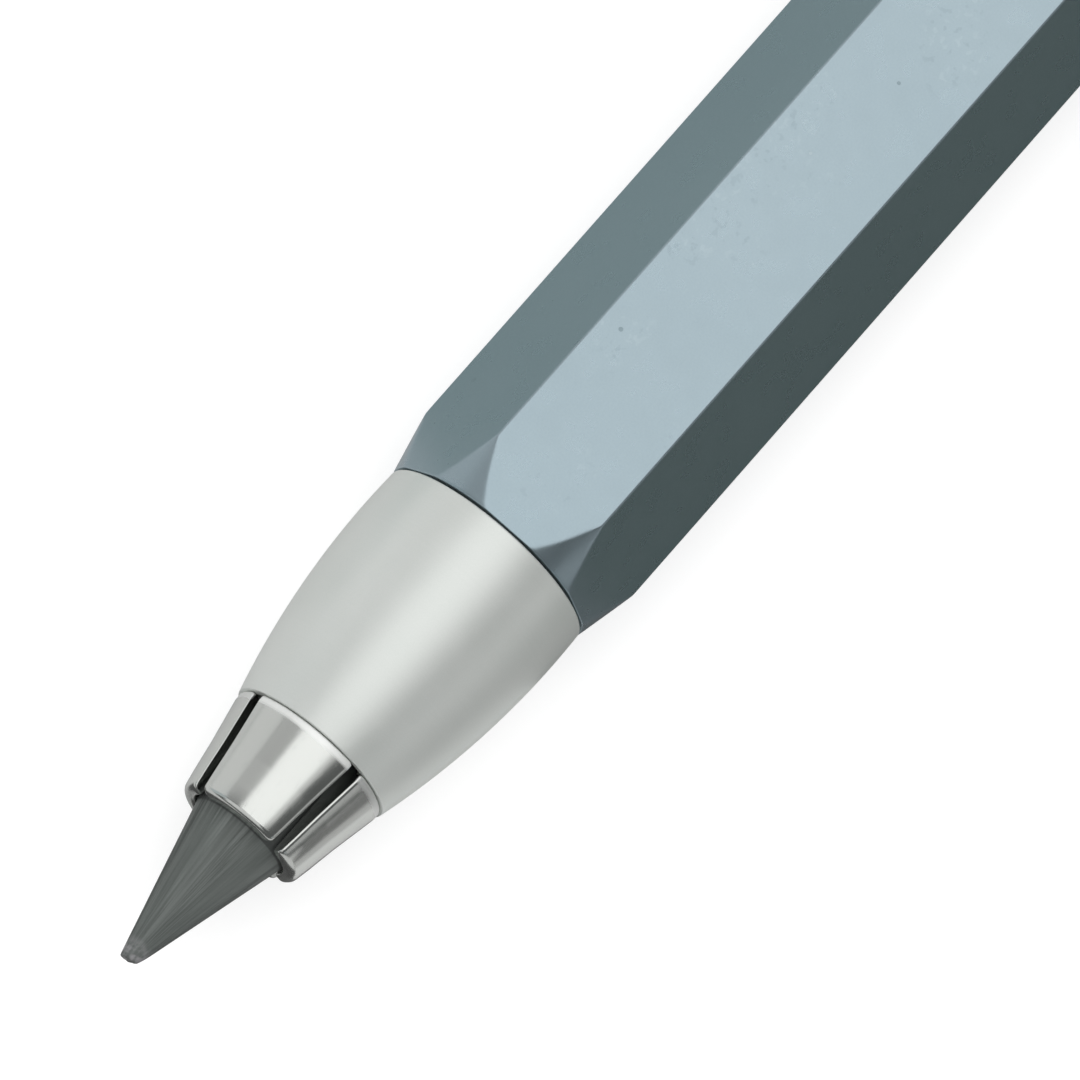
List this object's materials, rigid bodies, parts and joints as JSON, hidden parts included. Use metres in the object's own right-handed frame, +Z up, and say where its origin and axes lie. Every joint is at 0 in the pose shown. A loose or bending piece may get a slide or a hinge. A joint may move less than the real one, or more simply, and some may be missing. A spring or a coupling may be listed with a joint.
{
  "type": "lead holder",
  "caption": "Clutch lead holder: hexagonal lacquered barrel, satin nose cone, slit collet gripping a thick sharpened graphite lead, push button with sharpener, pocket clip.",
  "frame": {"origin": "centre of the bottom of the holder's box, as it lies with one barrel flat down", "axes": "+X along the holder from the writing tip to the push button, +Y across it, +Z up, through the flat that carries the clip"},
  "size_m": [0.1288, 0.0138, 0.0155],
  "materials": {
    "barrel_lacquer": "steel-blue satin lacquer over metal",
    "satin_aluminium": "fine turned satin",
    "collet_chrome": "bright chrome plate",
    "graphite": "sharpened graphite and clay",
    "brass": "turned brass",
    "spring_steel": "drawn wire and stamped steel"
  },
  "bodies": {
    "housing": {"barrel": "barrel_lacquer", "nose_cone": "satin_aluminium", "spring_washer": "spring_steel", "spring": "spring_steel", "end_collar": "collet_chrome", "clip_ring": "collet_chrome"},
    "plunger": {"collet_sleeve": "collet_chrome", "lead_tube": "brass", "spring_collar": "brass", "collar_circlip": "spring_steel"},
    "jaw_1": {"collet_jaw_1": "collet_chrome"},
    "jaw_2": {"collet_jaw_2": "collet_chrome"},
    "jaw_3": {"collet_jaw_3": "collet_chrome"},
    "jaw_4": {"collet_jaw_4": "collet_chrome"},
    "lead": {"lead": "graphite"},
    "button": {"push_button": "satin_aluminium", "button_cap": "satin_aluminium", "sharpener_body": "brass", "sharpener_blade": "spring_steel", "blade_screw": "spring_steel"},
    "clip": {"clip_arm": "collet_chrome"}
  },
  "joints": [
    {"name": "plunger_slide", "type": "slide", "parent": "housing", "child": "plunger", "axis": [-1, 0, 0], "range_m": [0, 0.004], "stiffness_N_per_m": 600, "springref_m": -0.003, "deforming": ["spring"]},
    {"name": "jaw_1_spread", "type": "hinge", "parent": "plunger", "child": "jaw_1", "pos_m": [-0.03245, 0.00081, 0.0094], "axis": [0, 0.9694, -0.2453], "range_deg": [0, 1]},
    {"name": "jaw_2_spread", "type": "hinge", "parent": "plunger", "child": "jaw_2", "pos_m": [-0.03245, 0.0032, 0.00539], "axis": [0, -0.2453, -0.9694], "range_deg": [0, 1]},
    {"name": "jaw_3_spread", "type": "hinge", "parent": "plunger", "child": "jaw_3", "pos_m": [-0.03245, -0.00081, 0.003], "axis": [0, -0.9694, 0.2453], "range_deg": [0, 1]},
    {"name": "jaw_4_spread", "type": "hinge", "parent": "plunger", "child": "jaw_4", "pos_m": [-0.03245, -0.0032, 0.00701], "axis": [0, 0.2453, 0.9694], "range_deg": [0, 1]},
    {"name": "lead_feed", "type": "slide", "parent": "plunger", "child": "lead", "axis": [-1, 0, 0], "range_m": [-0.03, 0.04]},
    {"name": "button_pull", "type": "slide", "parent": "plunger", "child": "button", "axis": [1, 0, 0], "range_m": [0, 0.03]},
    {"name": "clip_flex", "type": "hinge", "parent": "housing", "child": "clip", "pos_m": [0.0483, 0, 0.01313], "axis": [0, 1, 0], "range_deg": [0, 5], "stiffness_Nm_per_rad": 0.6, "springref_deg": -1.15}
  ],
  "couplings": [
    {"joint": "jaw_1_spread", "follows": "plunger_slide", "rad_per_m": 4.3},
    {"joint": "jaw_2_spread", "follows": "plunger_slide", "rad_per_m": 4.3},
    {"joint": "jaw_3_spread", "follows": "plunger_slide", "rad_per_m": 4.3},
    {"joint": "jaw_4_spread", "follows": "plunger_slide", "rad_per_m": 4.3}
  ]
}
